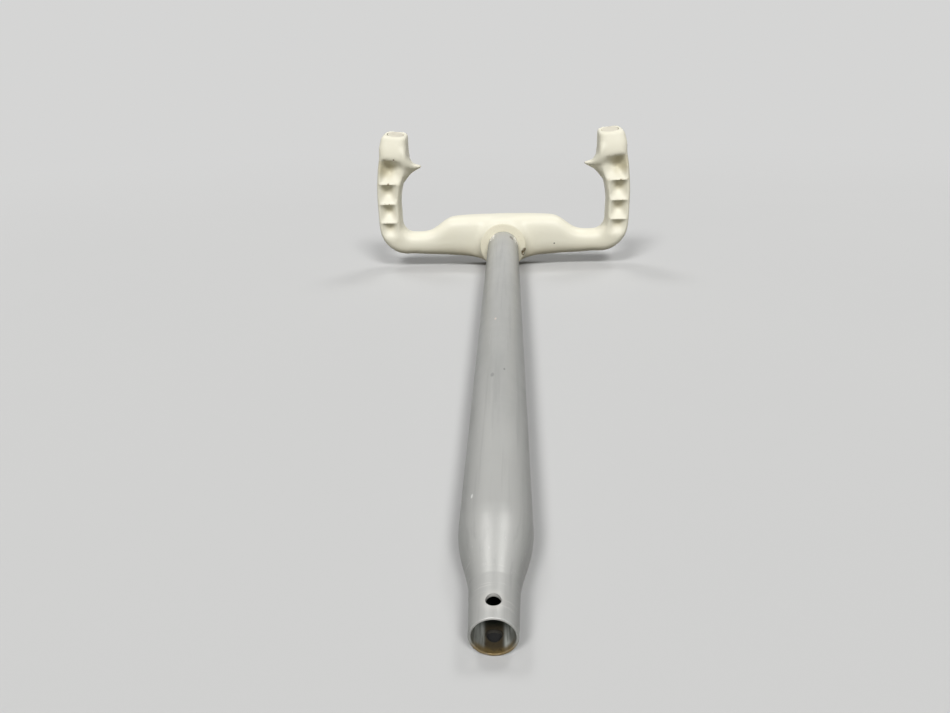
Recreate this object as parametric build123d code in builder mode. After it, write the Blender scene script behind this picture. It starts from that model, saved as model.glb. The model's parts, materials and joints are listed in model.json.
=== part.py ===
from build123d import *
from math import copysign, cos, exp, hypot, pi, radians, sin, tan
import os

# Aircraft control yoke: a moulded ram's-horn grip over a welded steel armature, on a swaged control tube.
# Millimetres. The tube's axis is the Y axis and +Y points aft, at the pilot. +Z points up the horns.
# The origin is where the axis of the bolt hole in the tube's forward end crosses the tube's axis.

# Control tube
tube_diameter = 34.925
tube_wall = 1.245
tube_to_boss_face = 571.6
tube_engagement = 28.4
seat_step = 0.3
seat_lead = 3.5
mouth_overhang = 9.1
mouth_diameter = 19.7
swage_root_diameter = 21.6
swage_root_distance = 15.0
swage_length = 38.0
swage_start_slope = 8.0
swage_middle_place = 0.48
swage_middle_share = 0.60
mouth_bore_diameter = 17.2
mouth_bore_depth = 23.0
mouth_edge_round = 0.5
bolt_hole_diameter = 6.35

# Yoke outline, seen from the front
yoke_half_width = 145.3
grip_width = 26.3
inner_corner_radius = 13.2
outer_corner_bulge = 2.6
arm_top = 13.7
arm_underside = -11.8
hub_top = 32.3
hub_underside = -28.0
hub_crown = 1.2
hub_keel_drop = 6.0
hub_keel_taper = 1.65
hub_squareness = 3.0
arm_squareness = 2.4
hub_half_width = 56.0
shoulder_run = 37.0
ledge_height = 98.8
head_height = 26.7
head_inner_shift = 12.2
head_outer_shift = 12.2
waist_height = 48.0
ledge_run_out = 8.0
grip_squareness = 3.5
top_face_margin = 4.5

# Yoke depth, along the tube
boss_standout = 7.2
boss_diameter = 53.4
boss_flare = 17.0
boss_flare_rise = 4.6
boss_flare_curve = 1.7
boss_flare_overrun = 3.3
boss_edge_round = 0.8
hub_depth = 36.4
arm_depth = 29.5
grip_depth = 34.5
grip_forward = 3.6
head_top_setback = 8.0
head_back_setback = 1.5
top_face_tilt = 11.0
top_face_lean = 5.0
top_edge_round = 3.4

# Finger grooves, from the index finger down: the width of each and how deep it is
finger_widths = [26.6, 22.5, 21.6, 17.0]
finger_depths = [8.4, 6.2, 5.8, 4.6]
crest_setback = 2.0
crest_span = 0.88
groove_corner_round = 3.0
brow_slope = 0.19
index_opening = 1.55
groove_focus = 0.38
bowl_roundness = 0.8

# Each groove's bowl: how deep a section lies, and its size, as shares of the groove's own
bowl_sections = [(0, 1), (0.5, 0.62), (1, 0.2)]
index_run_out = (-0.36, 1.22)

# Thumb hook: reach inwards from the grip, top and underside from the ledge, front and back, lean
thumb_hook_reach = 26.4
hook_squareness = 2.2
hook_rows = [
    (27.2, -8.5, -9.5, 13.0, 18.0, 0.1),
    (26.6, -7.9, -10.0, 12.0, 19.0, 0.3),
    (22.9, -6.6, -12.1, 10.2, 22.0, 0.6),
    (17.9, -4.7, -14.7, 7.6, 25.0, 0.6),
    (13.9, -1.4, -17.6, 6.0, 27.0, 0.4),
    (10.7, 3.2, -20.8, 5.2, 28.0, 0.2),
    (6.4, 10.7, -25.8, 4.6, 30.0, 0.1),
    (0.0, 16.2, -34.8, 4.6, 31.0, 0.0),
]

# Pilot's face
recess_diameter = 35.0

# Armature
armature_setback = 3.0
sleeve_wall = 2.9
sleeve_end_wall = 4.0
sleeve_cover = 3.0
core_tube_diameter = 12.7
core_tube_wall = 1.65
core_bend_radius = 26.0
core_lean_radius = 60.0
core_lean_start = 66.0
cup_diameter = 20.4
cup_height = 12.0
cup_floor = 3.0
gusset_thickness = 3.0
gusset_reach = 28.0
gusset_tip_height = 1.5
gusset_root_share = 0.5
gusset_seat_share = 0.8

# Height of each gusset at its root and at the sleeve, as shares of the sleeve's radius
upper_gusset_heights = [1.02, 0.95]
lower_gusset_heights = [0.98, 0.82]

# Horn plugs
plug_diameter = 18.2
plug_thickness = 2.0
plug_sink = 0.5
plug_spigot_diameter = 15.8
plug_spigot_length = 7.0
plug_edge_round = 0.5
plug_hollow_wall = 1.6

# End plug and fasteners
end_plug_length = 16.0
retaining_bolt_diameter = 9.525
bolt_head_across_flats = 14.29
bolt_head_height = 5.4
bolt_head_chamfer = 0.6
bolt_thread_length = 13.0
washer_diameter = 15.9
washer_thickness = 1.6
lock_washer_diameter = 15.0
lock_washer_thickness = 2.4
lock_washer_gap = 1.6
rivet_diameter = 3.2
rivet_length = 7.5
rivet_count = 4
index_pin_diameter = 4.0
index_pin_length = 10.0

# Clearances
tube_mouth_clearance = 0.12
bolt_clearance = 0.25
washer_clearance = 0.4
plug_clearance = 0.08

# Places worked out from the sizes above
tube_radius = tube_diameter / 2
tube_bore_radius = tube_radius - tube_wall
index_pin_offset = tube_bore_radius * 0.64
boss_face = tube_to_boss_face
seat_start = boss_face - seat_lead
seat_radius = tube_radius - seat_step
hub_front = boss_face + boss_standout
hub_back = hub_front + hub_depth
arm_middle = hub_front + arm_depth / 2
armature_middle = arm_middle + armature_setback
sleeve_front = boss_face + sleeve_cover
tube_end = boss_face + tube_engagement
sleeve_back = tube_end + sleeve_end_wall
sleeve_radius = tube_radius + sleeve_wall
core_radius = core_tube_diameter / 2
arm_axis_height = (arm_top + arm_underside) / 2
arm_thickness = arm_top - arm_underside
grip_inner = yoke_half_width - grip_width
grip_axis = yoke_half_width - grip_width / 2
corner_centre_x = grip_inner - inner_corner_radius
corner_centre_z = arm_top + inner_corner_radius
grip_front = arm_middle - grip_depth / 2 - grip_forward / 2
grip_back = arm_middle + grip_depth / 2 - grip_forward / 2
crest_plane = grip_front + crest_setback
head_top = ledge_height + head_height

# How finely the lofted shapes are drawn
section_points = 16
flare_step = 2.6
flare_sections = 7


def rounded_section(inner, outer, front, back, squareness, lean=0):
    """A smooth closed section between an inner and an outer point of the outline, which may lean aft."""
    width = hypot(outer[0] - inner[0], outer[1] - inner[1])
    outward = ((outer[0] - inner[0]) / width, 0, (outer[1] - inner[1]) / width)
    along = (-outward[2], 0, outward[0])
    middle = ((inner[0] + outer[0]) / 2, (front + back) / 2, (inner[1] + outer[1]) / 2)
    points = []
    for step in range(section_points):
        turn = 2 * pi * step / section_points
        across = copysign(abs(cos(turn)) ** (2 / squareness), cos(turn)) * width / 2
        aft = copysign(abs(sin(turn)) ** (2 / squareness), sin(turn)) * (back - front) / 2
        points.append((across, aft + lean * across))
    with BuildSketch(Plane(origin=middle, x_dir=outward, z_dir=along)) as section:
        with BuildLine():
            Spline(*points, periodic=True)
        make_face()
    return section.sketch


def blend(start, end, share):
    """A smooth step from start to end as share goes from 0 to 1."""
    share = min(max(share, 0), 1)
    return start + (end - start) * share * share * (3 - 2 * share)


def crossbar_section(distance):
    """A section of the hub, its shoulder or the arm, at a distance from the middle."""
    crown = hub_crown * min(distance / hub_half_width, 1) ** 2
    top = blend(hub_top - crown, arm_top, (distance - hub_half_width) / shoulder_run)
    keel = hub_keel_drop * max(1 - distance / corner_centre_x, 0)
    fall = exp(-(distance / boss_diameter * hub_keel_taper) ** 2)
    bulge = (arm_underside - hub_keel_drop - hub_underside) * fall
    share = (distance - hub_half_width / 2) / (hub_half_width / 2 + shoulder_run)
    back = blend(hub_back, arm_middle + arm_depth / 2, share)
    squareness = blend(hub_squareness, arm_squareness, share)
    underside = arm_underside - keel - bulge
    return rounded_section((distance, top), (distance, underside), hub_front, back, squareness)


def corner_section(turn):
    """A section of the bend between arm and grip, at an angle from straight down."""
    share = turn / 90
    bulge = outer_corner_bulge * sin(radians(2 * turn))
    outer_radius = inner_corner_radius + arm_thickness + (grip_width - arm_thickness) * share + bulge
    direction = (sin(radians(turn)), -cos(radians(turn)))
    inner = (corner_centre_x + direction[0] * inner_corner_radius,
             corner_centre_z + direction[1] * inner_corner_radius)
    outer = (corner_centre_x + direction[0] * outer_radius,
             corner_centre_z + direction[1] * outer_radius)
    front = blend(hub_front, grip_front, share)
    back = blend(arm_middle + arm_depth / 2, grip_back, share)
    squareness = arm_squareness + (grip_squareness - arm_squareness) * share
    return rounded_section(inner, outer, front, back, squareness)


def grip_edges(height):
    """The inner and outer edges of the grip, or of the head above it, at a height."""
    rise = max(height - waist_height, 0)
    inner = grip_inner - blend(0, head_inner_shift, rise / (ledge_height - waist_height + ledge_run_out))
    outer = yoke_half_width - head_outer_shift * (rise / (head_top - waist_height)) ** 2
    return inner, outer


def grip_section(height):
    """A section of the grip or of the head above it, which leans inwards and is set back at its top."""
    inner, outer = grip_edges(height)
    head_share = max((height - ledge_height) / head_height, 0)
    front = grip_front + head_top_setback * head_share ** 1.4
    back = grip_back - head_back_setback * head_share ** 2
    return rounded_section((inner, height), (outer, height), front, back, grip_squareness)


# The half yoke's sections, evenly spaced: hub and arm, corner, grip and head
crossbar_stations = [crossbar_section(corner_centre_x * index / 10) for index in range(10)]
corner_stations = [corner_section(90 * index / 4) for index in range(5)]
head_end = head_top + top_face_margin
grip_step = (head_end - corner_centre_z) / 9
grip_stations = [grip_section(corner_centre_z + grip_step * index) for index in range(1, 10)]

# Control tube: drawn from one piece, swaged down at its forward end for a universal joint
mouth_radius = mouth_diameter / 2
mouth_bore_radius = mouth_bore_diameter / 2
mouth_bore_end = mouth_bore_depth - mouth_overhang
swage_root_radius = swage_root_diameter / 2
swage_end = swage_root_distance + swage_length
swage_middle = swage_root_distance + swage_length * swage_middle_place
swage_middle_radius = swage_root_radius + (tube_radius - swage_root_radius) * swage_middle_share
root_tangent = (sin(radians(swage_start_slope)), cos(radians(swage_start_slope)))
tube_front = -mouth_overhang
end_plug_front = tube_end - end_plug_length
rivet_ring = tube_end - end_plug_length / 2


def radial_plane(place, angle):
    """A plane through the tube's axis whose normal points outwards at an angle from +X."""
    return Plane(origin=(0, place, 0), x_dir=(0, 1, 0), z_dir=(cos(radians(angle)), 0, sin(radians(angle))))


pin_plane = Plane(origin=(0, sleeve_back, 0), x_dir=(1, 0, 0), z_dir=(0, -1, 0))
rivet_planes = [radial_plane(rivet_ring, 45 + 360 / rivet_count * index) for index in range(rivet_count)]

with BuildPart() as control_tube:
    with BuildSketch(Plane.XY):
        with BuildLine():
            Line((mouth_radius, tube_front), (swage_root_radius, swage_root_distance))
            Spline((swage_root_radius, swage_root_distance), (swage_middle_radius, swage_middle),
                   (tube_radius, swage_end), tangents=[root_tangent, (0, 1)])
            Polyline((tube_radius, swage_end), (tube_radius, seat_start), (seat_radius, seat_start),
                     (seat_radius, tube_end), (tube_bore_radius, tube_end))
            Line((tube_bore_radius, tube_end), (tube_bore_radius, swage_end))
            Spline((tube_bore_radius, swage_end), (swage_middle_radius - tube_wall * 1.2, swage_middle),
                   (mouth_bore_radius, mouth_bore_end), tangents=[(0, -1), (0, -1)])
            Line((mouth_bore_radius, mouth_bore_end), (mouth_bore_radius, tube_front))
            Line((mouth_bore_radius, tube_front), (mouth_radius, tube_front))
        make_face()
    revolve(axis=Axis.Y)
    fillet(control_tube.edges().filter_by(GeomType.CIRCLE).group_by(Axis.Y)[0], mouth_edge_round)
    with BuildSketch(Plane.XY):
        Circle(bolt_hole_diameter / 2)
    extrude(amount=tube_radius, both=True, mode=Mode.SUBTRACT)
    with BuildSketch(*rivet_planes):
        Circle(rivet_diameter / 2)
    extrude(amount=tube_diameter, mode=Mode.SUBTRACT)

# End plug: riveted into the tube's aft end, threaded for the retaining bolt and drilled for the index pin
with BuildPart() as tube_end_plug:
    with BuildSketch(Plane.XY):
        with BuildLine():
            Polyline((retaining_bolt_diameter / 2, end_plug_front), (tube_bore_radius, end_plug_front),
                     (tube_bore_radius, tube_end), (retaining_bolt_diameter / 2, tube_end), close=True)
        make_face()
    revolve(axis=Axis.Y)
    with BuildSketch(*[plane.offset(tube_radius - rivet_length) for plane in rivet_planes]):
        Circle(rivet_diameter / 2)
    extrude(amount=rivet_length, mode=Mode.SUBTRACT)
    with BuildSketch(pin_plane):
        with Locations((0, -index_pin_offset)):
            Circle(index_pin_diameter / 2)
    extrude(amount=index_pin_length, mode=Mode.SUBTRACT)


def shaft(front, back, radius):
    """A plain round bar on the tube's axis."""
    with BuildPart() as bar:
        with BuildSketch(Plane(origin=(0, front, 0), x_dir=(1, 0, 0), z_dir=(0, 1, 0))):
            Circle(radius)
        extrude(amount=back - front)
    return bar.part


# Armature: a socket sleeve with a bent core tube welded to each side
core_start = (sleeve_radius / 2, armature_middle, arm_axis_height)
core_corner = (grip_axis, armature_middle, arm_axis_height)
core_lean = (grip_axis, armature_middle, core_lean_start)
top_face_middle = (grip_axis - (head_inner_shift + head_outer_shift) / 2,
                   (grip_front + grip_back + head_top_setback - head_back_setback) / 2, head_top)
top_face = Plane(origin=top_face_middle, x_dir=(1, 0, 0),
                 z_dir=(-tan(radians(top_face_lean)), -tan(radians(top_face_tilt)), 1))
cup_rim = top_face.offset(-plug_sink - plug_thickness)
cup_floor_face = cup_rim.offset(-cup_height + cup_floor)
cup_base = cup_rim.offset(-cup_height)
core_top = tuple(cup_rim.offset(-cup_height / 2).origin)


def core_rod(diameter):
    """A solid rod along the right core tube's bent axis."""
    with BuildPart() as rod:
        with BuildLine():
            FilletPolyline(core_start, core_corner, core_lean, core_top,
                           radius=[core_bend_radius, core_lean_radius])
        with BuildSketch(Plane(origin=core_start, x_dir=(0, 1, 0), z_dir=(1, 0, 0))):
            Circle(diameter / 2)
        sweep()
    return rod.part


sleeve_bar = shaft(sleeve_front, sleeve_back, sleeve_radius)
core_bar = core_rod(core_tube_diameter)

with BuildPart() as hub_sleeve:
    add(sleeve_bar)
    add(shaft(sleeve_front, tube_end, seat_radius), mode=Mode.SUBTRACT)
    add(shaft(tube_end, sleeve_back, retaining_bolt_diameter / 2 + bolt_clearance), mode=Mode.SUBTRACT)
    with BuildSketch(pin_plane):
        with Locations((0, -index_pin_offset)):
            Circle(index_pin_diameter / 2)
    extrude(amount=sleeve_end_wall, mode=Mode.SUBTRACT)

with BuildPart() as right_core_tube:
    add(core_bar)
    add(core_rod(core_tube_diameter - 2 * core_tube_wall), mode=Mode.SUBTRACT)
    add(sleeve_bar, mode=Mode.SUBTRACT)
    split(bisect_by=cup_floor_face, keep=Keep.BOTTOM)

with BuildPart() as left_core_tube:
    mirror(right_core_tube.part, about=Plane.YZ)

# Cups: brazed on the core tubes' ends, each the seat of the plug in its horn
with BuildPart() as right_cup:
    with BuildSketch(cup_base):
        Circle(cup_diameter / 2)
    extrude(amount=cup_height)
    with BuildSketch(cup_floor_face):
        Circle(plug_spigot_diameter / 2 + plug_clearance)
    extrude(amount=cup_height, mode=Mode.SUBTRACT)
    add(core_bar, mode=Mode.SUBTRACT)

with BuildPart() as left_cup:
    mirror(right_cup.part, about=Plane.YZ)

# Horn plugs: a flat cap on a hollow spigot, sunk a little below the horn's top
with BuildPart() as right_horn_plug:
    with BuildSketch(cup_rim):
        Circle(plug_diameter / 2)
    extrude(amount=plug_thickness)
    fillet(right_horn_plug.edges().filter_by(GeomType.CIRCLE).sort_by(Axis.Z)[-1], plug_edge_round)
    with BuildSketch(cup_rim):
        Circle(plug_spigot_diameter / 2)
    extrude(amount=-plug_spigot_length)
    with BuildSketch(cup_rim.offset(-plug_spigot_length)):
        Circle(plug_spigot_diameter / 2 - plug_hollow_wall)
    extrude(amount=plug_spigot_length, mode=Mode.SUBTRACT)

with BuildPart() as left_horn_plug:
    mirror(right_horn_plug.part, about=Plane.YZ)

# Gussets: flat plates welded into the angles between the sleeve and the core tubes
gusset_tip = sleeve_radius + gusset_reach
gusset_root = sleeve_radius * gusset_root_share


def gusset(side, heights):
    """The right-hand plate above (side 1) or below (side -1) the core tube."""
    seat = core_radius * gusset_seat_share
    root_height, sleeve_height = [sleeve_radius * height for height in heights]
    with BuildPart() as plate:
        with BuildSketch(Plane(origin=(0, armature_middle - gusset_thickness / 2, arm_axis_height),
                               x_dir=(1, 0, 0), z_dir=(0, 1, 0))):
            with BuildLine():
                Polyline((gusset_root, -side * seat), (gusset_tip, -side * seat),
                         (gusset_tip, -side * (core_radius + gusset_tip_height)),
                         (sleeve_radius, -side * sleeve_height),
                         (gusset_root, -side * root_height), close=True)
            make_face()
        extrude(amount=gusset_thickness)
        add(sleeve_bar, mode=Mode.SUBTRACT)
        add(core_bar, mode=Mode.SUBTRACT)
    return plate.part


with BuildPart() as right_upper_gusset:
    add(gusset(1, upper_gusset_heights))

with BuildPart() as right_lower_gusset:
    add(gusset(-1, lower_gusset_heights))

with BuildPart() as left_upper_gusset:
    mirror(right_upper_gusset.part, about=Plane.YZ)

with BuildPart() as left_lower_gusset:
    mirror(right_lower_gusset.part, about=Plane.YZ)

# Fasteners: four flush rivets, the index pin, and the retaining bolt on its two washers
with BuildPart() as end_plug_rivets:
    with BuildSketch(*[plane.offset(tube_radius - rivet_length) for plane in rivet_planes]):
        Circle(rivet_diameter / 2)
    extrude(amount=rivet_length + tube_wall)
    add(shaft(end_plug_front, tube_end, seat_radius), mode=Mode.INTERSECT)

with BuildPart() as index_pin:
    with BuildSketch(pin_plane):
        with Locations((0, -index_pin_offset)):
            Circle(index_pin_diameter / 2)
    extrude(amount=index_pin_length)

plain_washer_back = sleeve_back + washer_thickness
lock_washer_back = plain_washer_back + lock_washer_thickness


def ring(front, back, outer_radius, inner_radius):
    """A flat ring on the tube's axis."""
    with BuildPart() as washer:
        add(shaft(front, back, outer_radius))
        add(shaft(front, back, inner_radius), mode=Mode.SUBTRACT)
    return washer.part


with BuildPart() as plain_washer:
    add(ring(sleeve_back, plain_washer_back, washer_diameter / 2,
             retaining_bolt_diameter / 2 + washer_clearance))

with BuildPart() as lock_washer:
    add(ring(plain_washer_back, lock_washer_back, lock_washer_diameter / 2,
             retaining_bolt_diameter / 2 + washer_clearance))
    with BuildSketch(Plane(origin=(0, plain_washer_back, 0), x_dir=(1, 0, 0), z_dir=(0, 1, 0))):
        Rectangle(lock_washer_diameter, lock_washer_gap, align=(Align.MIN, Align.CENTER))
    extrude(amount=lock_washer_thickness, mode=Mode.SUBTRACT)

with BuildPart() as retaining_bolt:
    with BuildSketch(Plane(origin=(0, lock_washer_back, 0), x_dir=(1, 0, 0), z_dir=(0, 1, 0))):
        RegularPolygon(bolt_head_across_flats / 2, 6, major_radius=False)
    extrude(amount=bolt_head_height)
    chamfer(retaining_bolt.edges().group_by(Axis.Y)[-1], bolt_head_chamfer)
    add(shaft(tube_end - bolt_thread_length, lock_washer_back, retaining_bolt_diameter / 2))

# Grip moulding: half a yoke is lofted, given a thumb hook and grooves and mirrored, and gets its boss
def hook_section(reach, rise, drop, front, back, lean):
    """A section of the thumb hook, at a reach inwards from the grip: depths count from the grip's front."""
    place = grip_inner - reach * thumb_hook_reach / hook_rows[0][0]
    top = (place, ledge_height + rise)
    underside = (place, ledge_height + drop)
    return rounded_section(top, underside, grip_front + front, grip_front + back, hook_squareness, lean)


boss_radius = boss_diameter / 2
flare_start = boss_face + boss_edge_round * 1.5


def flare_section(index):
    """A section of the flare between the boss and the hub, the first at the boss."""
    distance = flare_step * index
    spread = min(distance / (boss_standout + boss_flare_overrun), 1) ** boss_flare_curve
    rise = boss_flare_rise * spread
    middle = (0, flare_start + distance, rise / 2)
    with BuildSketch(Plane(origin=middle, x_dir=(1, 0, 0), z_dir=(0, 1, 0))) as section:
        Ellipse(boss_radius + boss_flare * spread, boss_radius + rise / 2)
    return section.sketch


def groove_section(index, depth, share):
    """A section of a finger groove's cutter, parallel to the grip's front, with its size as a share."""
    top = ledge_height - sum(finger_widths[:index])
    bottom = top - finger_widths[index]
    inner, outer = grip_edges((top + bottom) / 2)
    middle = (inner + outer) / 2
    reach = (outer - inner) / 2 * crest_span
    slope = brow_slope if index == 0 else 0
    hook_side = reach * index_opening if index == 0 else reach
    focus = top - (top - bottom) * groove_focus
    corners = [(middle - hook_side, top - slope * hook_side), (middle + reach, top + slope * reach),
               (middle + reach, bottom), (middle - reach, bottom)]
    sized = [(middle + (x - middle) * share, -(focus + (z - focus) * share)) for x, z in corners]
    roundest = min(reach, finger_widths[index] / 2) * share * bowl_roundness
    depth_share = max(depth, 0) / finger_depths[index]
    corner_round = groove_corner_round + (roundest - groove_corner_round) * depth_share
    with BuildSketch(Plane(origin=(0, crest_plane + depth, 0), x_dir=(1, 0, 0), z_dir=(0, 1, 0))) as section:
        Polygon(*sized, align=None)
        fillet(section.vertices(), corner_round)
    return section.sketch


def groove_cutter(index):
    """A bowl that hollows one finger groove, steep under its upper crest and sloping out to the lower one."""
    depth = finger_depths[index]
    bowl = [index_run_out] + bowl_sections if index == 0 else bowl_sections
    with BuildPart() as cutter:
        loft(sections=[groove_section(index, depth * place, share) for place, share in bowl])
    return cutter.part


with BuildPart() as yoke_half:
    loft(sections=crossbar_stations + corner_stations + grip_stations)
    loft(sections=[hook_section(*row) for row in hook_rows])
    split(bisect_by=top_face, keep=Keep.BOTTOM)
    fillet(yoke_half.faces().sort_by(Axis.Z)[-1].edges(), top_edge_round)
    with BuildSketch(Plane(origin=(0, crest_plane, 0), x_dir=(1, 0, 0), z_dir=(0, -1, 0))):
        Polygon((grip_axis - grip_width, 0), (grip_axis + grip_width, 0),
                (grip_axis + grip_width, ledge_height + brow_slope * grip_width),
                (grip_axis - grip_width, ledge_height - brow_slope * grip_width), align=None)
    extrude(amount=grip_depth, mode=Mode.SUBTRACT)
    for index in range(len(finger_widths)):
        add(groove_cutter(index), mode=Mode.SUBTRACT)

# What the moulding is cast around on its right side, and the plug hole in its horn
with BuildPart() as right_cavity:
    add(core_bar)
    split(bisect_by=cup_base, keep=Keep.BOTTOM)
    with BuildSketch(cup_base):
        Circle(cup_diameter / 2)
    extrude(amount=cup_height)
    with BuildSketch(cup_rim):
        Circle(plug_diameter / 2 + plug_clearance)
    extrude(amount=plug_thickness + plug_sink + top_edge_round)
    add(right_upper_gusset.part)
    add(right_lower_gusset.part)

with BuildPart() as grip_moulding:
    add(yoke_half.part)
    mirror(yoke_half.part, about=Plane.YZ)
    with BuildSketch(Plane(origin=(0, boss_face, 0), x_dir=(1, 0, 0), z_dir=(0, 1, 0))):
        Circle(boss_radius)
    extrude(amount=flare_start - boss_face)
    loft(sections=[flare_section(index) for index in range(flare_sections)])
    fillet(grip_moulding.edges().filter_by(GeomType.CIRCLE).sort_by(Axis.Y)[0], boss_edge_round)
    add(shaft(boss_face, sleeve_front, seat_radius + tube_mouth_clearance), mode=Mode.SUBTRACT)
    add(sleeve_bar, mode=Mode.SUBTRACT)
    add(shaft(sleeve_back, hub_back + hub_depth, recess_diameter / 2), mode=Mode.SUBTRACT)
    add(right_cavity.part, mode=Mode.SUBTRACT)
    add(mirror(right_cavity.part, about=Plane.YZ, mode=Mode.PRIVATE), mode=Mode.SUBTRACT)

os.makedirs("parts", exist_ok=True)
grip_moulding.part.label = "grip_moulding"
export_step(grip_moulding.part, "parts/grip_moulding.step")
control_tube.part.label = "control_tube"
export_step(control_tube.part, "parts/control_tube.step")
hub_sleeve.part.label = "hub_sleeve"
export_step(hub_sleeve.part, "parts/hub_sleeve.step")
left_core_tube.part.label = "left_core_tube"
export_step(left_core_tube.part, "parts/left_core_tube.step")
right_core_tube.part.label = "right_core_tube"
export_step(right_core_tube.part, "parts/right_core_tube.step")
left_cup.part.label = "left_cup"
export_step(left_cup.part, "parts/left_cup.step")
right_cup.part.label = "right_cup"
export_step(right_cup.part, "parts/right_cup.step")
left_horn_plug.part.label = "left_horn_plug"
export_step(left_horn_plug.part, "parts/left_horn_plug.step")
right_horn_plug.part.label = "right_horn_plug"
export_step(right_horn_plug.part, "parts/right_horn_plug.step")
left_upper_gusset.part.label = "left_upper_gusset"
export_step(left_upper_gusset.part, "parts/left_upper_gusset.step")
right_upper_gusset.part.label = "right_upper_gusset"
export_step(right_upper_gusset.part, "parts/right_upper_gusset.step")
left_lower_gusset.part.label = "left_lower_gusset"
export_step(left_lower_gusset.part, "parts/left_lower_gusset.step")
right_lower_gusset.part.label = "right_lower_gusset"
export_step(right_lower_gusset.part, "parts/right_lower_gusset.step")
tube_end_plug.part.label = "tube_end_plug"
export_step(tube_end_plug.part, "parts/tube_end_plug.step")
end_plug_rivets.part.label = "end_plug_rivets"
export_step(end_plug_rivets.part, "parts/end_plug_rivets.step")
index_pin.part.label = "index_pin"
export_step(index_pin.part, "parts/index_pin.step")
plain_washer.part.label = "plain_washer"
export_step(plain_washer.part, "parts/plain_washer.step")
lock_washer.part.label = "lock_washer"
export_step(lock_washer.part, "parts/lock_washer.step")
retaining_bolt.part.label = "retaining_bolt"
export_step(retaining_bolt.part, "parts/retaining_bolt.step")
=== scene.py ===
import json
from math import copysign, cos, pi, radians, sin

import bpy
from mathutils import Matrix, Vector


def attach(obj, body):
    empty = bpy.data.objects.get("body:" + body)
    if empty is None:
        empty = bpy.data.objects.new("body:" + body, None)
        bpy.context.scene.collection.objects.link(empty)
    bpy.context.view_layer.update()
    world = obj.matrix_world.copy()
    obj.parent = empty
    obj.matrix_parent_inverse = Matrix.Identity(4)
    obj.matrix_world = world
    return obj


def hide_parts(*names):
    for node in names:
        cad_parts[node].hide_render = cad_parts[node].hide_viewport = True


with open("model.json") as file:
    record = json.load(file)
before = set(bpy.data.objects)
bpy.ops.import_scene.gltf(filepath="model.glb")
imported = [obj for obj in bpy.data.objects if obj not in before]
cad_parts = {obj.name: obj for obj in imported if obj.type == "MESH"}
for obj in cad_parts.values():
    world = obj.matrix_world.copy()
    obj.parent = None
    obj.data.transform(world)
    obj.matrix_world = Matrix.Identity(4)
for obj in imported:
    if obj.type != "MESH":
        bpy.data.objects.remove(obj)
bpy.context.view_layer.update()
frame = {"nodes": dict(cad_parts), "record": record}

# Aircraft control yoke: a moulded ram's-horn grip on a swaged steel control tube.
# Metres. +Y runs aft along the tube, +Z up the horns, the origin is in the bolt hole.

nodes = frame["nodes"]

# Places on the yoke that its paint and its skin go by
boss_face_at = 0.5716
boss_radius = 0.0267
crest_heights = (0.0988, 0.0722, 0.0497, 0.0281)
last_groove_ends_at = 0.0080
groove_middle = 0.1318
grip_middle = 0.1322
crest_edge_at = 0.5775
groove_floor_at = 0.5820


# Materials

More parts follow.
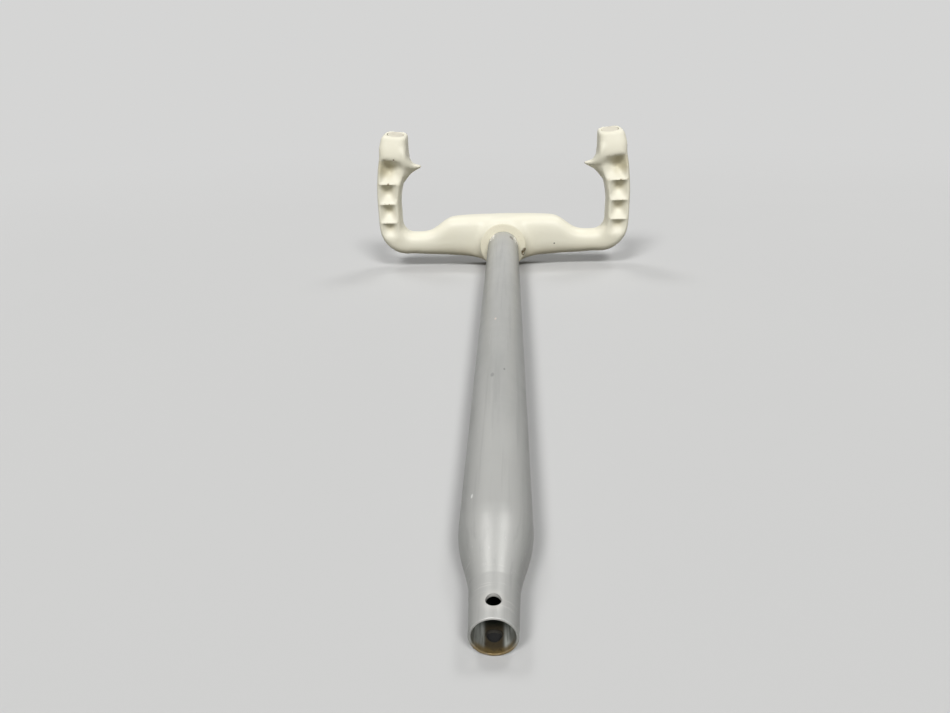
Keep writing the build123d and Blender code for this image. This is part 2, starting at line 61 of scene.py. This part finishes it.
class Paint:
    """A material under construction: its nodes, its shader and the piece's own coordinates."""

    def __init__(self, name, colour, roughness, metallic=0.0):
        self.material = bpy.data.materials.new(name)
        self.material.use_nodes = True
        self.tree = self.material.node_tree
        self.shader = self.tree.nodes["Principled BSDF"]
        self.shader.inputs["Metallic"].default_value = metallic
        self.shader.inputs["Roughness"].default_value = roughness
        self.place = self.node("ShaderNodeTexCoord").outputs["Object"]
        rgb = self.node("ShaderNodeRGB")
        rgb.outputs[0].default_value = (*colour, 1)
        self.colour = rgb.outputs[0]
        self.roughness = None
        self.start_roughness = roughness
        self.height = None

    def node(self, kind, **values):
        made = self.tree.nodes.new(kind)
        for key, value in values.items():
            setattr(made, key, value)
        return made

    def link(self, source, target):
        self.tree.links.new(source, target)

    def mapped(self, scale, centre=(0, 0, 0)):
        """The piece's coordinates, stretched by a scale about a centre."""
        mapping = self.node("ShaderNodeMapping")
        mapping.inputs["Scale"].default_value = scale
        mapping.inputs["Location"].default_value = [-c * s for c, s in zip(centre, scale)]
        self.link(self.place, mapping.inputs["Vector"])
        return mapping.outputs["Vector"]

    def noise(self, scale, detail, stretch=(1, 1, 1)):
        texture = self.node("ShaderNodeTexNoise")
        texture.inputs["Scale"].default_value = scale
        texture.inputs["Detail"].default_value = detail
        texture.inputs["Roughness"].default_value = 0.55
        self.link(self.mapped(stretch), texture.inputs["Vector"])
        return texture.outputs["Fac"]

    def ramp(self, source, start, end, smooth=True):
        """0 up to the start and 1 past the end. The end may be the lower of the two."""
        step = self.node("ShaderNodeMapRange")
        step.interpolation_type = "SMOOTHSTEP" if smooth else "LINEAR"
        down = start > end
        step.inputs["From Min"].default_value = end if down else start
        step.inputs["From Max"].default_value = start if down else end
        step.inputs["To Min"].default_value = 1.0 if down else 0.0
        step.inputs["To Max"].default_value = 0.0 if down else 1.0
        self.link(source, step.inputs["Value"])
        return step.outputs["Result"]

    def patches(self, scale, detail, start, end, stretch=(1, 1, 1)):
        """Broken patches: a noise, 0 where it is under the start and 1 where it is over the end."""
        return self.ramp(self.noise(scale, detail, stretch), start, end)

    def math(self, operation, first, second=0.0):
        made = self.node("ShaderNodeMath", operation=operation)
        for socket, value in zip(made.inputs, (first, second)):
            if isinstance(value, (int, float)):
                socket.default_value = value
            else:
                self.link(value, socket)
        return made.outputs[0]

    def both(self, *masks):
        """Masks multiplied together."""
        made = masks[0]
        for mask in masks[1:]:
            made = self.math("MULTIPLY", made, mask)
        return made

    def length(self, stretch, centre=(0, 0, 0)):
        """How far a place is from a centre, along the axes that the stretch keeps."""
        far = self.node("ShaderNodeVectorMath", operation="LENGTH")
        self.link(self.mapped(stretch, centre), far.inputs[0])
        return far.outputs["Value"]

    def radius(self):
        """How far a place is from the tube's axis."""
        return self.length((1, 0, 1))

    def spot(self, centre, radius, soft, stretch=(1, 1, 1)):
        """A soft ball round a place, 1 inside and 0 outside."""
        return self.ramp(self.length(stretch, centre), radius, radius * (1 - soft))

    def axis(self, name):
        split = self.node("ShaderNodeSeparateXYZ")
        self.link(self.place, split.inputs[0])
        return split.outputs[name]

    def aside(self):
        """How far a place is from the yoke's middle plane."""
        return self.math("ABSOLUTE", self.axis("X"))

    def along(self, name, start, end):
        """A ramp along one axis."""
        return self.ramp(self.axis(name), start, end)

    def band(self, name, middle, half, soft):
        """1 near a place along one axis, 0 elsewhere."""
        distance = self.math("ABSOLUTE", self.math("SUBTRACT", self.axis(name), middle))
        return self.ramp(distance, half + soft, half)

    def tint(self, colour, mask, share):
        """Lays a colour over what is there, where the mask is 1."""
        mix = self.node("ShaderNodeMix", data_type="RGBA")
        colours = [socket for socket in mix.inputs if socket.type == "RGBA"]
        self.link(self.math("MULTIPLY", mask, share), mix.inputs[0])
        self.link(self.colour, colours[0])
        colours[1].default_value = (*colour, 1)
        self.colour = [socket for socket in mix.outputs if socket.type == "RGBA"][0]

    def rough(self, value, mask):
        """Moves the roughness towards a value, where the mask is 1."""
        mix = self.node("ShaderNodeMix", data_type="FLOAT")
        self.link(mask, mix.inputs[0])
        if self.roughness is None:
            mix.inputs[2].default_value = self.start_roughness
        else:
            self.link(self.roughness, mix.inputs[2])
        mix.inputs[3].default_value = value
        self.roughness = mix.outputs[0]

    def raise_by(self, mask, height):
        """Adds relief of a height in metres."""
        layer = self.math("MULTIPLY", mask, height)
        self.height = layer if self.height is None else self.math("ADD", self.height, layer)

    def done(self):
        self.link(self.colour, self.shader.inputs["Base Color"])
        if self.roughness is not None:
            self.link(self.roughness, self.shader.inputs["Roughness"])
        if self.height is not None:
            bump = self.node("ShaderNodeBump")
            bump.inputs["Distance"].default_value = 1.0
            bump.inputs["Strength"].default_value = 1.0
            self.link(self.height, bump.inputs["Height"])
            self.link(bump.outputs["Normal"], self.shader.inputs["Normal"])
        return self.material


# Colours of the moulding, of what has soiled it, and of the shade painted on it
cream = (0.82, 0.79, 0.655)
aged_cream = (0.76, 0.715, 0.55)
clean_cream = (0.84, 0.82, 0.71)
# Painted shade, with some grime, for the undersides
underside_shade_and_grime_brown = (0.50, 0.43, 0.29)
crest_dirt = (0.42, 0.33, 0.20)
# Painted shade for the hollows under the crests
painted_crest_shade_yellow = (0.50, 0.45, 0.29)
ring_cream = (0.79, 0.74, 0.575)
ring_specks = (0.52, 0.44, 0.28)
rim_stain = (0.55, 0.47, 0.28)
pit_dirt = (0.11, 0.075, 0.03)


def soil_and_shade_the_grooves(paint):
    """Handling dirt on the crests, and painted shade, yellowish, in the hollow under each crest, most of all
    under the brow.
    """
    crest_half, crest_fade = 0.0006, 0.0016
    smear = paint.both(paint.patches(170, 5, 0.50, 0.72), paint.ramp(paint.aside(), 0.112, 0.118))
    for height in crest_heights:
        on_crest = paint.both(paint.band("Z", height, crest_half, crest_fade),
                              paint.along("Y", groove_floor_at, crest_edge_at))
        paint.tint(crest_dirt, paint.both(on_crest, smear), 0.55)
    reaches = (0.0175, 0.0105, 0.0098, 0.0090)
    shares = (0.72, 0.62, 0.58, 0.50)
    middle_share = 0.42
    # Painted shade in the hollow under each crest
    for side in (-groove_middle, groove_middle):
        for height, reach, share in zip(crest_heights, reaches, shares):
            middle = (side, groove_floor_at, height - middle_share * reach)
            hollow = paint.both(paint.spot(middle, reach, 0.65, (1.2, 0.4, 1)),
                                paint.along("Z", height + 0.0004, height - 0.0012),
                                paint.along("Y", 0.5900, 0.5860))
            paint.tint(painted_crest_shade_yellow, paint.both(hollow, paint.patches(110, 4, 0.10, 0.55)), share)


def age_the_boss(paint):
    """A duller, yellower ring with fine specks around the tube, a stained rim and pits. Gives the ring."""
    ring = paint.both(paint.along("Y", boss_face_at + 0.0009, boss_face_at + 0.0003),
                      paint.ramp(paint.radius(), 0.0166, 0.0170))
    paint.tint(ring_cream, ring, 0.7)
    paint.tint(ring_specks, paint.both(ring, paint.patches(900, 4, 0.60, 0.74)), 0.6)
    rim = paint.both(paint.along("Y", boss_face_at + 0.0022, boss_face_at + 0.0012),
                     paint.ramp(paint.radius(), boss_radius - 0.0010, boss_radius - 0.0003),
                     paint.along("Z", 0.012, 0.004))
    paint.tint(rim_stain, paint.both(rim, paint.patches(160, 4, 0.42, 0.62)), 0.5)
    pits_at = boss_face_at + 0.0001
    pit_depth = 0.0004
    for x, z, size in ((0.0249, -0.0044, 0.0030), (0.0237, -0.0086, 0.0036), (0.0226, -0.0066, 0.0022)):
        pit = paint.both(paint.spot((x, pits_at, z), size, 0.6), paint.patches(520, 5, 0.30, 0.48))
        paint.tint(pit_dirt, pit, 0.95)
        paint.raise_by(pit, -pit_depth)
    return ring


def mark_the_moulding(paint):
    """Single marks: a pit in the hub, a dark spot on the left brow, dirt on three crests."""
    for centre, size, colour in (((0.0598, 0.5800, 0.0006), 0.0014, (0.05, 0.045, 0.04)),
                                 ((-0.1215, 0.5755, 0.0995), 0.0014, (0.16, 0.10, 0.05)),
                                 ((-0.1300, 0.5765, 0.0724), 0.0019, (0.24, 0.17, 0.09)),
                                 ((0.1325, 0.5765, 0.0725), 0.0012, (0.35, 0.27, 0.16)),
                                 ((-0.1305, 0.5768, 0.0499), 0.0011, (0.38, 0.30, 0.18))):
        paint.tint(colour, paint.spot(centre, size, 0.7, (1, 0.12, 1)), 0.85)


def cream_moulding():
    """Aged cream moulding, faintly mottled."""
    paint = Paint("cream_moulding", cream, 0.40)
    paint.shader.inputs["Specular IOR Level"].default_value = 0.38
    paint.tint(aged_cream, paint.patches(24, 5, 0.35, 0.80), 0.30)
    paint.tint(clean_cream, paint.patches(9, 3, 0.4, 0.8), 0.35)
    # The undersides are darkened and browned: painted shade, and some grime that hands don't wipe off
    under = paint.both(paint.along("Z", 0.004, -0.019), paint.along("Y", 0.5735, 0.5760))
    paint.tint(underside_shade_and_grime_brown, paint.both(under, paint.patches(36, 4, 0.10, 0.50)), 0.66)
    soil_and_shade_the_grooves(paint)
    ring = age_the_boss(paint)
    mark_the_moulding(paint)
    paint.rough(0.55, paint.patches(60, 5, 0.35, 0.75))
    paint.rough(0.72, ring)
    grain_height, wave_height = 0.00003, 0.00010
    paint.raise_by(paint.noise(420, 3), grain_height)
    paint.raise_by(paint.noise(60, 2), wave_height)
    return paint.done()


# Colours of the tube, its wear and its stains, and of the shade and highlights painted on it
tube_grey = (0.475, 0.475, 0.455)
dark_cloud = (0.34, 0.345, 0.33)
pale_streak = (0.48, 0.48, 0.46)
dark_streak = (0.33, 0.33, 0.32)
pale_ring = (0.50, 0.49, 0.47)
# Painted shade for the tube's sides
painted_side_shade_grey = (0.215, 0.22, 0.21)
scratch_grey = (0.60, 0.60, 0.59)
mouth_scratch_grey = (0.62, 0.61, 0.58)
rubbed_grey = (0.58, 0.57, 0.54)
bare_metal = (0.93, 0.93, 0.91)
chip_dirt = (0.13, 0.115, 0.095)
bore_grey = (0.20, 0.205, 0.18)
# Painted highlights for the bore's walls
painted_bore_highlight = (0.66, 0.68, 0.64)
dried_fluid = (0.075, 0.055, 0.028)
lip_amber = (0.20, 0.14, 0.055)
fluid_fleck = (0.07, 0.05, 0.03)
# Painted shade for deep in the bore
painted_deep_bore_shade = (0.04, 0.06, 0.055)
lower_hole_dark = (0.05, 0.045, 0.035)


def cloud_and_shade_the_tube(paint):
    """Cloudy streaks along the tube and faint rings around it, and painted shade that makes the sides darker
    than the top.
    """
    paint.tint(dark_cloud, paint.patches(26, 5, 0.45, 0.78, (1, 0.15, 1)), 0.6)
    paint.tint(pale_streak, paint.patches(120, 4, 0.55, 0.75, (1, 0.05, 1)), 0.4)
    paint.tint(dark_streak, paint.patches(300, 4, 0.50, 0.72, (1, 0.03, 1)), 0.35)
    paint.tint(pale_ring, paint.patches(260, 4, 0.58, 0.74, (0.15, 1, 0.15)), 0.25)
    # Painted shade: the sides are painted darker than the top
    facing_up = paint.math("DIVIDE", paint.axis("Z"), paint.radius())
    paint.tint(painted_side_shade_grey, paint.ramp(facing_up, 0.97, 0.25), 0.62)


def scratch_the_tube(paint):
    """Fine scratches along the tube, others around its mouth, and a rubbed halo at the bolt hole."""
    scratches = paint.patches(1500, 2, 0.66, 0.72, (1, 0.02, 1))
    paint.tint(scratch_grey, paint.both(scratches, paint.patches(40, 3, 0.5, 0.62)), 0.35)
    around = paint.both(paint.patches(1300, 2, 0.64, 0.70, (0.05, 1, 0.05)), paint.along("Y", 0.034, 0.018))
    paint.tint(mouth_scratch_grey, around, 0.4)
    halo = paint.both(paint.ramp(paint.length((1, 1, 0)), 0.0064, 0.0036), paint.along("Z", 0.006, 0.009))
    paint.tint(rubbed_grey, halo, 0.6)
    scratch_depth = 0.000006
    paint.raise_by(scratches, -scratch_depth)


def chip_the_tube(paint):
    """Bare chips with dirt beside them, where a collar has sat ahead of the boss, and single marks."""
    def broken(centre, size):
        return paint.ramp(paint.both(paint.spot(centre, size, 0.9, (1, 0.45, 1)), paint.noise(520, 5)),
                          0.10, 0.18)

    for centre, size in (((-0.0124, 0.5640, 0.0123), 0.0064), ((0.0149, 0.5605, 0.0091), 0.0070)):
        bare = broken(centre, size)
        paint.tint(bare_metal, bare, 0.95)
        paint.rough(0.18, bare)
    for centre, size in (((-0.0131, 0.5600, 0.0117), 0.0020), ((0.0158, 0.5565, 0.0076), 0.0026),
                         ((0.0100, 0.5530, 0.0143), 0.0040)):
        paint.tint(chip_dirt, broken(centre, size), 0.7)
    for centre, size, colour in (((-0.0113, 0.0627, 0.0133), 0.0009, (0.85, 0.85, 0.83)),
                                 ((-0.0039, 0.2885, 0.0170), 0.0012, (0.72, 0.62, 0.55)),
                                 ((0.0034, 0.1959, 0.0171), 0.0009, (0.22, 0.22, 0.21)),
                                 ((-0.0042, 0.1878, 0.0169), 0.0016, (0.27, 0.27, 0.26))):
        paint.tint(colour, paint.spot(centre, size, 0.6, (1, 0.4, 1)), 0.8)


def stain_light_and_shade_the_mouth(paint):
    """Dull and dark inside, with painted highlights left and right, painted shade deep in the bore, and amber
    where fluid has dried. Gives the inside.
    """
    inside = paint.both(paint.ramp(paint.radius(), 0.0090, 0.0087), paint.along("Y", 0.030, 0.018))
    paint.tint(bore_grey, inside, 0.92)
    # Painted highlights on the bore's walls, left and right
    aside = paint.aside()
    streaks = paint.both(inside, paint.ramp(aside, 0.0032, 0.0048), paint.ramp(aside, 0.0084, 0.0068),
                         paint.patches(420, 3, 0.32, 0.62, (1, 0.12, 1)))
    paint.tint(painted_bore_highlight, streaks, 0.9)
    trough = paint.both(inside, paint.along("Z", -0.0071, -0.0082))
    paint.tint(dried_fluid, paint.both(trough, paint.patches(160, 4, 0.15, 0.40)), 0.92)
    lip = paint.both(paint.ramp(paint.radius(), 0.0099, 0.0094), paint.along("Y", -0.0052, -0.0078),
                     paint.along("Z", -0.0010, -0.0060))
    paint.tint(lip_amber, paint.both(lip, paint.patches(240, 4, 0.22, 0.50)), 0.9)
    paint.tint(fluid_fleck, paint.both(trough, paint.patches(520, 5, 0.56, 0.68)), 0.8)
    # The wall's middle grows with the swage, which tells the bore from the tube's outside
    wall_middle = 0.0092
    for start, end, growth in ((-0.009, 0.015, 0.0006), (0.015, 0.033, 0.0042), (0.033, 0.053, 0.0027)):
        grown = paint.math("MULTIPLY", paint.ramp(paint.axis("Y"), start, end, smooth=False), growth)
        wall_middle = paint.math("ADD", grown, wall_middle)
    from_wall = paint.math("SUBTRACT", paint.radius(), wall_middle)
    # Painted shade: the bore's wall is painted near black from about a centimetre inside the mouth
    painted_deep_shade = paint.both(paint.ramp(from_wall, 0.0001, -0.0001), paint.along("Y", 0.002, 0.010))
    paint.tint(painted_deep_bore_shade, painted_deep_shade, 0.9)
    # Darker round the lower bolt hole, on the bore's floor
    lower_hole = paint.both(paint.ramp(paint.length((1, 1, 0)), 0.0037, 0.0034),
                            paint.along("Z", -0.0070, -0.0078))
    paint.tint(lower_hole_dark, lower_hole, 0.9)
    return inside


def tube_steel():
    """Satin grey tube, worn by its bearing, with painted shade on its sides."""
    paint = Paint("tube_steel", tube_grey, 0.37, 0.32)
    paint.shader.inputs["Specular IOR Level"].default_value = 0.3
    cloud_and_shade_the_tube(paint)
    scratch_the_tube(paint)
    chip_the_tube(paint)
    inside = stain_light_and_shade_the_mouth(paint)
    paint.rough(0.46, paint.patches(45, 5, 0.35, 0.75))
    paint.rough(0.30, inside)
    grain_height = 0.000012
    paint.raise_by(paint.noise(700, 2, (1, 0.05, 1)), grain_height)
    return paint.done()


old_grease = (0.03, 0.028, 0.024)


def plain(name, colour, roughness, metallic, grain, greased_to=None):
    """A hidden piece's finish: mottled, grained, and under old grease up to a place along the tube."""
    shading, dulling, dullest = 0.72, 0.18, 0.9
    paint = Paint(name, colour, roughness, metallic)
    darker = tuple(c * shading for c in colour)
    paint.tint(darker, paint.patches(70, 5, 0.45, 0.75), 0.6)
    paint.rough(min(roughness + dulling, dullest), paint.patches(120, 4, 0.4, 0.7))
    if greased_to is not None:
        grease = paint.along("Y", greased_to, greased_to - 0.001)
        paint.tint(old_grease, grease, 0.95)
        paint.rough(0.85, grease)
    grain_height = 0.00003
    paint.raise_by(paint.noise(grain, 3), grain_height)
    return paint.done()


finishes = {
    "cream_moulding": cream_moulding(),
    "tube_steel": tube_steel(),
    "armature_steel": plain("armature_steel", (0.20, 0.23, 0.13), 0.55, 0.0, 900),
    "plug_plastic": plain("plug_plastic", (0.67, 0.63, 0.52), 0.5, 0.0, 1400),
    "turned_alloy": plain("turned_alloy", (0.50, 0.50, 0.49), 0.45, 0.8, 1800, greased_to=0.588),
    "fastener_steel": plain("fastener_steel", (0.50, 0.45, 0.30), 0.35, 1.0, 1500),
}
for part in frame["record"]["subparts"]:
    for slot in nodes[part["node"]].material_slots:
        slot.material = finishes[part["material_slot"]]


# The grip's skin: the moulding with its edges softened as a mould leaves them

def select_only(thing):
    bpy.ops.object.select_all(action="DESELECT")
    thing.select_set(True)
    bpy.context.view_layer.objects.active = thing


def apply_modifier(thing, kind, **values):
    select_only(thing)
    modifier = thing.modifiers.new(kind.lower(), kind)
    for key, value in values.items():
        setattr(modifier, key, value)
    bpy.ops.object.modifier_apply(modifier=modifier.name)


def turned_bar(name, radius, front, back):
    """A plain bar on the tube's axis, used to fill or cut the moulding's mouth."""
    bpy.ops.object.select_all(action="DESELECT")
    bpy.ops.mesh.primitive_cylinder_add(vertices=128, radius=radius, depth=back - front,
                                        location=(0, (front + back) / 2, 0), rotation=(radians(90), 0, 0))
    bar = bpy.context.object
    bar.name = name
    bpy.ops.object.transform_apply(location=True, rotation=True, scale=True)
    return bar


def weigh(skin, name, weight_at):
    group = skin.vertex_groups.new(name=name)
    for vertex in skin.data.vertices:
        group.add([vertex.index], weight_at(vertex.co), "REPLACE")
    return group.name


def ease(value, start, end):
    """0 up to the start and 1 past the end. The end may be the lower of the two."""
    share = min(max((value - start) / (end - start), 0), 1)
    return share * share * (3 - 2 * share)


def zone(value, outer_low, inner_low, inner_high, outer_high):
    """1 between the inner bounds and 0 outside the outer ones."""
    return ease(value, outer_low, inner_low) * ease(value, outer_high, inner_high)


def from_axis(place):
    """How far a place is from the tube's axis."""
    return (place.x ** 2 + place.z ** 2) ** 0.5


def skin_softness(place):
    """How far the skin is eased: all over, but little at the hook's thin tip and the boss's edge."""
    tip_kept, boss_kept, least = 0.88, 0.93, 0.05
    tip = ease(abs(place.x), 0.112, 0.098) * ease(place.z, 0.070, 0.082)
    boss = ease(place.y, 0.5745, 0.5730) * ease(from_axis(place), 0.0285, 0.0275)
    return max(1 - tip_kept * tip - boss_kept * boss, least)


def brow_softness(place):
    """Where the head overhangs the first groove and runs into the hook, clear of the hook's thin tip."""
    high = zone(place.z, 0.088, 0.096, 0.105, 0.114)
    return high * ease(abs(place.x), 0.099, 0.107) * ease(place.y, 0.600, 0.590)


def foot_softness(place):
    """Where the last groove runs out into the corner."""
    low = zone(place.z, 0.000, 0.007, 0.017, 0.024)
    return low * ease(abs(place.x), 0.108, 0.116) * ease(place.y, 0.594, 0.586)


def side_softness(place):
    """The grips' long edges, on both sides of the grooves."""
    beside = ease(abs(abs(place.x) - grip_middle), 0.0085, 0.0110) * ease(abs(place.x), 0.108, 0.114)
    return beside * zone(place.z, 0.014, 0.022, 0.092, 0.100) * ease(place.y, 0.592, 0.586)


def flare_softness(place):
    """The hollow where the boss flares into the hub."""
    return zone(from_axis(place), 0.0268, 0.0282, 0.048, 0.062) * zone(place.y, 0.5726, 0.5742, 0.592, 0.602)


def lift_underside(place):
    """The hub's underside rises beside the boss."""
    lift = 0.0038
    beside = zone(abs(place.x), 0.012, 0.024, 0.036, 0.062)
    place.z += lift * beside * ease(place.z, -0.012, -0.025) * ease(place.y, 0.5735, 0.5765)


def fill_head_side(place):
    """The head's outer side lies as far out as the grip's."""
    filling = 0.0019
    high = zone(place.z, 0.100, 0.112, 0.121, 0.1275)
    place.x += copysign(filling, place.x) * ease(abs(place.x), 0.124, 0.132) * high


def bring_hook_forward(place):
    """The hook's root lies level with the head's front."""
    forward = 0.0042
    root = zone(abs(place.x), 0.098, 0.107, 0.110, 0.117) * zone(place.z, 0.086, 0.096, 0.104, 0.114)
    place.y -= forward * root * zone(place.y, 0.5745, 0.5790, 0.583, 0.592)


def fill_hook_corner(place):
    """The head's inner side sweeps into the hook."""
    filling = 0.0012
    corner_aside, corner_height = 0.1080, 0.0985
    far = ((abs(place.x) - corner_aside) ** 2 + (place.z - corner_height) ** 2) ** 0.5
    filled = filling * ease(far, 0.0085, 0.0010)
    place.x -= copysign(filled, place.x)
    place.z += filled


def hollow_grooves(place):
    """The finger grooves deepen, most of all a little over a third of the way down from each crest."""
    depths = (0.0022, 0.0013, 0.0013, 0.0008)
    downward_bias = 0.7
    for top, bottom, depth in zip(crest_heights, crest_heights[1:] + (last_groove_ends_at,), depths):
        down = (top - place.z) / (top - bottom)
        if 0 < down < 1:
            within = ease(abs(abs(place.x) - groove_middle), 0.0085, 0.0010) * ease(place.y, 0.593, 0.588)
            place.y += depth * sin(pi * down ** downward_bias) * within


def work_by_hand(skin):
    for vertex in skin.data.vertices:
        lift_underside(vertex.co)
        fill_head_side(vertex.co)
        bring_hook_forward(vertex.co)
        fill_hook_corner(vertex.co)
        hollow_grooves(vertex.co)


def grip_skin():
    merge_distance, voxel = 0.000002, 0.00108
    filler_radius, filler_depth = 0.0190, 0.0045
    mouth_radius, mouth_depth, cut_ahead = 0.01728, 0.0060, 0.01
    smoothed_up_to = radians(50)
    moulding = nodes["grip_moulding"]
    skin = bpy.data.objects.new("grip_skin", moulding.data.copy())
    bpy.context.scene.collection.objects.link(skin)
    select_only(skin)
    bpy.ops.object.mode_set(mode="EDIT")
    bpy.ops.mesh.select_all(action="SELECT")
    bpy.ops.mesh.remove_doubles(threshold=merge_distance)
    bpy.ops.object.mode_set(mode="OBJECT")
    # The mouth is filled before the skin is softened and cut again after, so that its edge stays sharp
    filler = turned_bar("mouth_filler", filler_radius, boss_face_at, boss_face_at + filler_depth)
    cutter = turned_bar("mouth_cutter", mouth_radius, boss_face_at - cut_ahead,
                        boss_face_at + mouth_depth)
    apply_modifier(skin, "BOOLEAN", operation="UNION", object=filler, solver="EXACT")
    apply_modifier(skin, "REMESH", mode="VOXEL", voxel_size=voxel)
    work_by_hand(skin)
    for name, weight_at, rounds in (("softness", skin_softness, 7), ("brow", brow_softness, 46),
                                    ("foot", foot_softness, 46), ("side", side_softness, 18),
                                    ("flare", flare_softness, 85)):
        group = weigh(skin, name, weight_at)
        apply_modifier(skin, "SMOOTH", factor=0.5, iterations=rounds, vertex_group=group)
    apply_modifier(skin, "BOOLEAN", operation="DIFFERENCE", object=cutter, solver="EXACT")
    for bar in (filler, cutter):
        bpy.data.objects.remove(bar, do_unlink=True)
    skin.vertex_groups.clear()
    select_only(skin)
    bpy.ops.object.shade_smooth_by_angle(angle=smoothed_up_to)
    skin.data.materials.clear()
    skin.data.materials.append(finishes["cream_moulding"])
    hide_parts("grip_moulding")
    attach(skin, "root")


grip_skin()


# Floor, light and camera

backdrop = (0.665, 0.665, 0.66)
floor_grey = (0.58, 0.58, 0.575)
floor_pale = (0.61, 0.61, 0.60)
floor_shade = (0.012, 0.012, 0.012)
floor_bounce = (0.22, 0.215, 0.19)
# The yoke rests on its hub's underside and the mouth of its tube, so the floor slopes in this frame
hub_rest = Vector((0, 0.597, -0.0281))
mouth_rest = Vector((0, -0.0086, -0.0099))
lamp_spread = radians(16)


def floor_finish():
    """Pale and matt, and far away it runs into the backdrop."""
    paint = Paint("pale_floor", floor_grey, 0.9)
    paint.tint(floor_pale, paint.noise(3, 3), 0.5)
    # A dark spot is painted on the floor under the bolt hole, as the tube's shadow there
    paint.tint(floor_shade, paint.spot((0, 0.0022, -0.0103), 0.0070, 0.2), 1.0)
    material = paint.done()
    shine = paint.node("ShaderNodeEmission")
    shine.inputs["Color"].default_value = (*backdrop, 1)
    rays = paint.node("ShaderNodeLightPath")
    seen = paint.math("MAXIMUM", rays.outputs["Is Camera Ray"], rays.outputs["Is Glossy Ray"])
    fade_start, fade_end = 0.8, 2.2
    far = paint.ramp(paint.length((1, 1, 1)), fade_start, fade_end)
    fade = paint.node("ShaderNodeMixShader")
    paint.link(paint.both(far, seen), fade.inputs[0])
    paint.link(paint.shader.outputs[0], fade.inputs[1])
    paint.link(shine.outputs[0], fade.inputs[2])
    # What the floor throws back on the object is kept low, so that undersides stay in shade
    thrown = paint.node("ShaderNodeBsdfDiffuse")
    thrown.inputs["Color"].default_value = (*floor_bounce, 1)
    pick = paint.node("ShaderNodeMixShader")
    paint.link(seen, pick.inputs[0])
    paint.link(thrown.outputs[0], pick.inputs[1])
    paint.link(fade.outputs[0], pick.inputs[2])
    paint.link(pick.outputs[0], paint.tree.nodes["Material Output"].inputs["Surface"])
    return material


def floor():
    slope = (hub_rest - mouth_rest).normalized()
    up = Vector((1, 0, 0)).cross(slope)
    half, middle_at, clearance = 20, 1.5, 0.00005
    bpy.ops.object.select_all(action="DESELECT")
    bpy.ops.mesh.primitive_plane_add(size=1)
    plane = bpy.context.object
    plane.name = "floor"
    middle = mouth_rest + slope * middle_at
    corners = ((-half, -half), (half, -half), (-half, half), (half, half))
    for vertex, (x, y) in zip(plane.data.vertices, corners):
        vertex.co = middle + Vector((x, 0, 0)) + slope * y - up * clearance
    plane.data.materials.append(floor_finish())


def studio():
    """A backdrop for camera, glass and mirror rays, and a faint white fill for all others."""
    fill_strength = 0.09
    world = bpy.data.worlds.new("studio")
    bpy.context.scene.world = world
    world.use_nodes = True
    tree = world.node_tree
    tree.nodes.clear()
    seen = tree.nodes.new("ShaderNodeBackground")
    seen.inputs["Color"].default_value = (*backdrop, 1)
    seen.inputs["Strength"].default_value = 1.0
    fill = tree.nodes.new("ShaderNodeBackground")
    fill.inputs["Color"].default_value = (1, 1, 1, 1)
    fill.inputs["Strength"].default_value = fill_strength
    rays = tree.nodes.new("ShaderNodeLightPath")
    picked = rays.outputs["Is Camera Ray"]
    for kind in ("Is Transmission Ray", "Is Glossy Ray"):
        either = tree.nodes.new("ShaderNodeMath")
        either.operation = "MAXIMUM"
        tree.links.new(picked, either.inputs[0])
        tree.links.new(rays.outputs[kind], either.inputs[1])
        picked = either.outputs[0]
    blend = tree.nodes.new("ShaderNodeMixShader")
    tree.links.new(picked, blend.inputs[0])
    tree.links.new(fill.outputs[0], blend.inputs[1])
    tree.links.new(seen.outputs[0], blend.inputs[2])
    tree.links.new(blend.outputs[0], tree.nodes.new("ShaderNodeOutputWorld").inputs[0])


def lamp(name, bearing, elevation, level):
    """A soft far light, its bearing counted from the forward end. Level 1 makes a facing white wall white."""
    data = bpy.data.lights.new(name, "SUN")
    data.angle = lamp_spread
    data.energy = level * pi
    thing = bpy.data.objects.new(name, data)
    turn, tilt = radians(bearing), radians(elevation)
    source = Vector((sin(turn) * cos(tilt), -cos(turn) * cos(tilt), sin(tilt)))
    thing.rotation_euler = source.to_track_quat("Z", "Y").to_euler()
    bpy.context.scene.collection.objects.link(thing)


def camera():
    """The photo's viewpoint."""
    yaw, pitch, roll = radians(-3.278), radians(23.828), radians(-1.828)
    place = Vector((0.00736, -0.20035, 0.20135))
    forward = Vector((sin(yaw) * cos(pitch), cos(yaw) * cos(pitch), -sin(pitch)))
    sideways = Vector((cos(yaw), -sin(yaw), 0))
    upright = sideways.cross(forward)
    right = sideways * cos(roll) + upright * sin(roll)
    top = upright * cos(roll) - sideways * sin(roll)
    data = bpy.data.cameras.new("camera")
    data.lens = 25.59
    data.sensor_width = 36
    thing = bpy.data.objects.new("camera", data)
    turned = Matrix((right, top, -forward)).transposed().to_4x4()
    thing.matrix_world = Matrix.Translation(place) @ turned
    bpy.context.scene.collection.objects.link(thing)
    bpy.context.scene.camera = thing


floor()
studio()
lamp("front_left", bearing=-24, elevation=46, level=0.52)
lamp("front_right", bearing=22, elevation=46, level=0.51)
lamp("above_left", bearing=-139, elevation=56, level=0.145)
lamp("above_right", bearing=139, elevation=56, level=0.145)
camera()
bpy.context.scene.view_settings.view_transform = "Standard"
